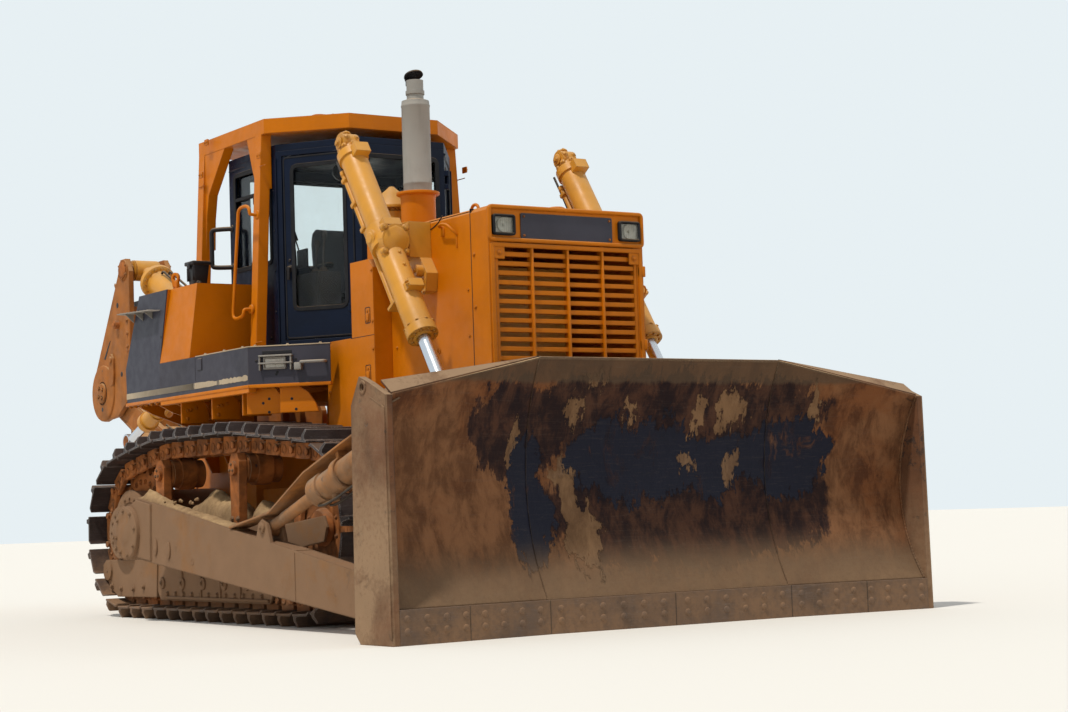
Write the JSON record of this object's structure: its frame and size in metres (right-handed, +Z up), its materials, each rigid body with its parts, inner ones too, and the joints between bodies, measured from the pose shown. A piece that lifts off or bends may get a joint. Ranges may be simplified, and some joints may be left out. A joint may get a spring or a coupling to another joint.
{
  "type": "crawler bulldozer with ripper",
  "caption": "Crawler bulldozer with a raising straight blade on push arms, lift cylinders, opening cab doors, rollover canopy and a raised single-shank ripper.",
  "frame": {"origin": "on the ground below the middle of the machine's overall length and width", "axes": "+X forward towards the blade, +Y to the machine's left, +Z up"},
  "size_m": [8.7727, 4.0606, 3.8911],
  "materials": {
    "black": "satin paint",
    "bladeface": "scuffed dark paint under dried earth",
    "chrome": "polished",
    "dusty": "worn to bare metal and dusted",
    "glass": "clear",
    "grey": "heat-dulled paint",
    "lamp": "clear lens",
    "navy": "satin paint",
    "orange": "worn semi-gloss paint",
    "plastic": "grained",
    "rust": "rusty with packed earth",
    "seat": "woven seat cloth",
    "shoe": "dark steel, bright at the worn edges",
    "slate": "satin paint with scuffs",
    "yellow": "worn semi-gloss paint"
  },
  "bodies": {
    "machine": {"cab_fittings": "plastic", "cab_shell": "navy", "cab_top": "navy", "cab_windows": "glass", "carrier_rollers": "rust", "dash_cowl": "orange", "engine": "yellow", "fenders": "slate", "final_drives": "dusty", "fuel_tank": "slate", "grille": "orange", "headlamps": "lamp", "hood": "orange", "idlers": "rust", "lift_yokes": "yellow", "main_frame": "orange", "muffler": "grey", "pre_cleaner": "yellow", "radiator_guard": "orange", "rain_cap": "black", "ripper_mount": "orange", "rollover_frame": "orange", "seat_back": "seat", "seat_cushion": "seat", "side_boxes": "orange", "side_tanks": "orange", "sprockets": "rust", "stack_collar": "orange", "track_frames": "dusty", "track_left": "shoe", "track_right": "shoe", "track_rollers": "rust"},
    "blade": {"blade_back": "orange", "blade_end_plates": "dusty", "blade_mouldboard": "bladeface", "cutting_edge": "shoe", "push_arms": "dusty", "tilt_brace": "orange", "tilt_cylinder": "orange"},
    "right_lift_cylinder": {"lift_barrel_right": "yellow"},
    "right_lift_piston": {"lift_rod_right": "chrome"},
    "left_lift_cylinder": {"lift_barrel_left": "yellow"},
    "left_lift_piston": {"lift_rod_left": "chrome"},
    "right_door": {"door_right": "navy", "door_glass_right": "glass"},
    "left_door": {"door_left": "navy", "door_glass_left": "glass"},
    "ripper_arm": {"ripper_arms": "orange"},
    "ripper_head": {"ripper_carrier": "orange", "ripper_shank": "shoe"},
    "ripper_top_link": {"ripper_pitch_cylinder": "yellow"},
    "right_ripper_cylinder": {"ripper_barrel_right": "yellow"},
    "right_ripper_piston": {"ripper_rod_right": "chrome"},
    "left_ripper_cylinder": {"ripper_barrel_left": "yellow"},
    "left_ripper_piston": {"ripper_rod_left": "chrome"}
  },
  "joints": [
    {"name": "blade_lift", "type": "hinge", "parent": "machine", "child": "blade", "pos_m": [-0.2515, 0, 0.657], "axis": [0, -1, 0], "range_deg": [-7, 20]},
    {"name": "lift_swing_right", "type": "hinge", "parent": "machine", "child": "right_lift_cylinder", "pos_m": [2.4385, -0.9, 2.55], "axis": [0, -1, 0], "range_deg": [-9, 25]},
    {"name": "lift_stroke_right", "type": "slide", "parent": "right_lift_cylinder", "child": "right_lift_piston", "axis": [0.5537, 0, -0.8327], "range_m": [-1.14, 0.41]},
    {"name": "lift_swing_left", "type": "hinge", "parent": "machine", "child": "left_lift_cylinder", "pos_m": [2.4385, 0.9, 2.55], "axis": [0, -1, 0], "range_deg": [-9, 25]},
    {"name": "lift_stroke_left", "type": "slide", "parent": "left_lift_cylinder", "child": "left_lift_piston", "axis": [0.5537, 0, -0.8327], "range_m": [-1.14, 0.41]},
    {"name": "door_swing_right", "type": "hinge", "parent": "machine", "child": "right_door", "pos_m": [1.13275, -0.40213, 2.03], "axis": [0, 0, 1], "range_deg": [0, 75]},
    {"name": "door_swing_left", "type": "hinge", "parent": "machine", "child": "left_door", "pos_m": [1.13275, 0.40213, 2.03], "axis": [0, 0, -1], "range_deg": [0, 75]},
    {"name": "ripper_lift", "type": "hinge", "parent": "machine", "child": "ripper_arm", "pos_m": [-1.9415, 0, 0.95], "axis": [0, 1, 0], "range_deg": [-48, 0]},
    {"name": "ripper_head_turn", "type": "hinge", "parent": "ripper_arm", "child": "ripper_head", "pos_m": [-4.1215, 0, 1.95], "axis": [0, 1, 0], "range_deg": [0, 49]},
    {"name": "ripper_link_turn", "type": "hinge", "parent": "machine", "child": "ripper_top_link", "pos_m": [-1.4315, 0, 2.05], "axis": [0, 1, 0], "range_deg": [-49, 0]},
    {"name": "ripper_swing_right", "type": "hinge", "parent": "machine", "child": "right_ripper_cylinder", "pos_m": [-1.5915, -0.42, 2], "axis": [0, 1, 0], "range_deg": [-26, 0]},
    {"name": "ripper_stroke_right", "type": "slide", "parent": "right_ripper_cylinder", "child": "right_ripper_piston", "axis": [-0.9342, 0, -0.3568], "range_m": [0, 0.6]},
    {"name": "ripper_swing_left", "type": "hinge", "parent": "machine", "child": "left_ripper_cylinder", "pos_m": [-1.5915, 0.42, 2], "axis": [0, 1, 0], "range_deg": [-26, 0]},
    {"name": "ripper_stroke_left", "type": "slide", "parent": "left_ripper_cylinder", "child": "left_ripper_piston", "axis": [-0.9342, 0, -0.3568], "range_m": [0, 0.6]}
  ],
  "couplings": [
    {"joint": "lift_swing_right", "follows": "blade_lift", "ratio": 1.1896},
    {"joint": "lift_stroke_right", "follows": "blade_lift", "m_per_rad": -3.2183},
    {"joint": "lift_swing_left", "follows": "blade_lift", "ratio": 1.1896},
    {"joint": "lift_stroke_left", "follows": "blade_lift", "m_per_rad": -3.2183},
    {"joint": "ripper_head_turn", "follows": "ripper_lift", "ratio": -1},
    {"joint": "ripper_link_turn", "follows": "ripper_lift", "ratio": 1},
    {"joint": "ripper_swing_right", "follows": "ripper_lift", "ratio": 0.5333},
    {"joint": "ripper_stroke_right", "follows": "ripper_lift", "m_per_rad": -0.706},
    {"joint": "ripper_swing_left", "follows": "ripper_lift", "ratio": 0.5333},
    {"joint": "ripper_stroke_left", "follows": "ripper_lift", "m_per_rad": -0.706}
  ]
}
